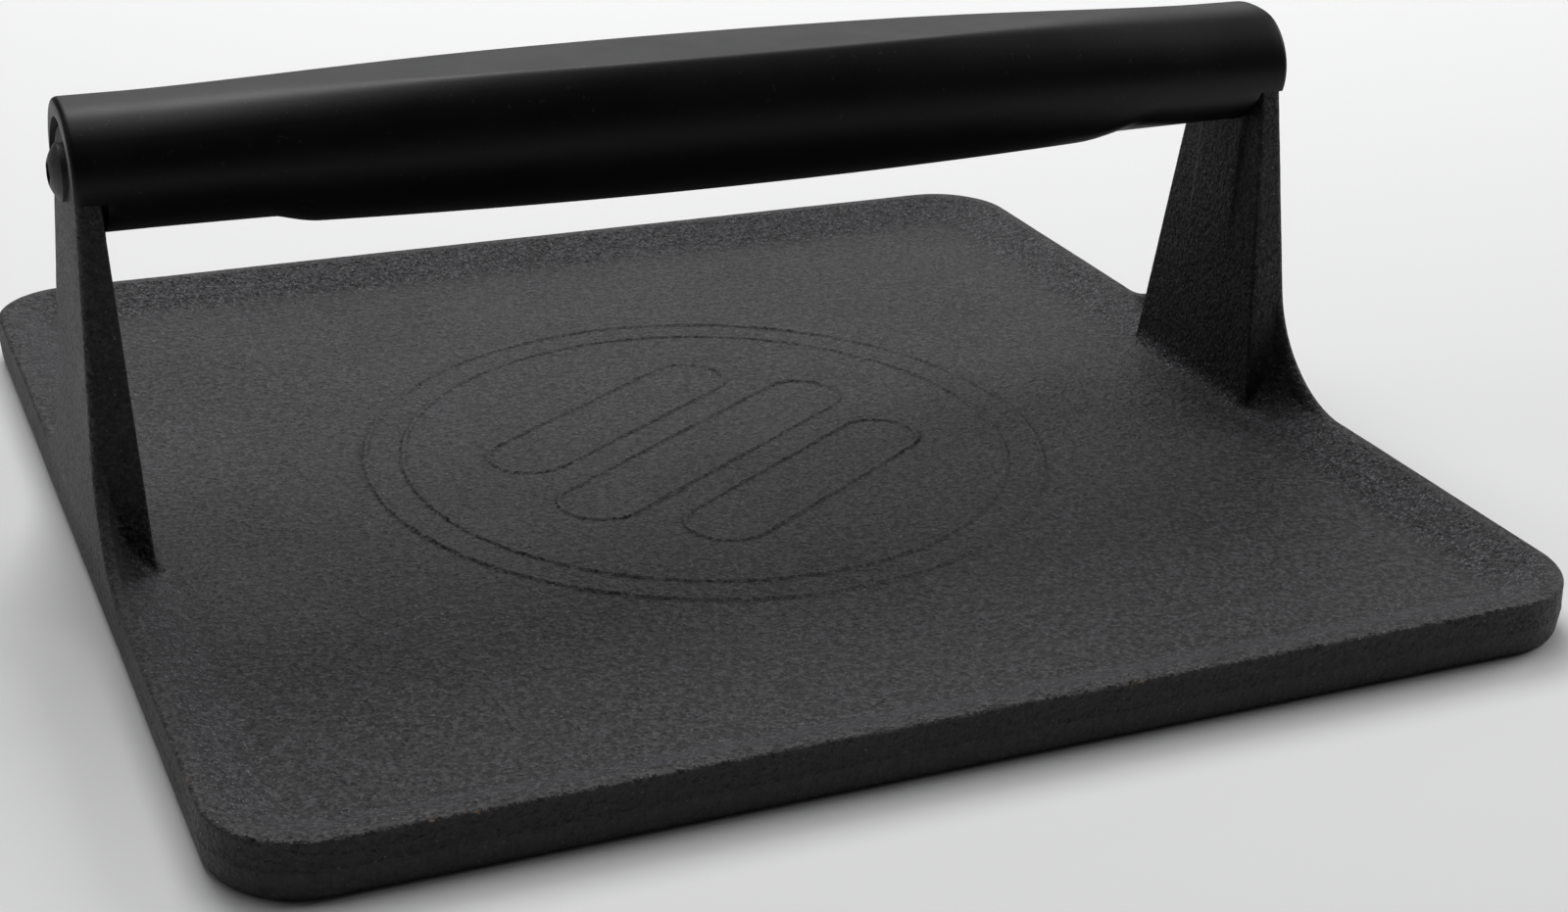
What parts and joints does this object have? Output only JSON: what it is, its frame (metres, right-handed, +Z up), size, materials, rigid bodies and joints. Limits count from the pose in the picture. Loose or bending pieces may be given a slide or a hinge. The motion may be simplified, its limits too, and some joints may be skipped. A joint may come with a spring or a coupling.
{
  "type": "bacon press",
  "caption": "Square cast-iron griddle press with a low rim, two uprights cast in and a moulded black handle screwed between them.",
  "frame": {"origin": "middle of the flat cooking face, on the surface that the press stands on", "axes": "+X along the handle, +Y across it, +Z up from the cooking face to the handle"},
  "size_m": [0.254, 0.252, 0.0913],
  "materials": {
    "cast_iron": "seasoned, matt, with a fine sand-cast grain",
    "handle_moulding": "satin black moulding",
    "screw_steel": "black oxide",
    "insert_brass": "turned"
  },
  "bodies": {
    "root": {"press_plate": "cast_iron", "handle_grip": "handle_moulding", "left_handle_screw": "screw_steel", "right_handle_screw": "screw_steel", "left_threaded_insert": "insert_brass", "right_threaded_insert": "insert_brass"}
  },
  "joints": []
}
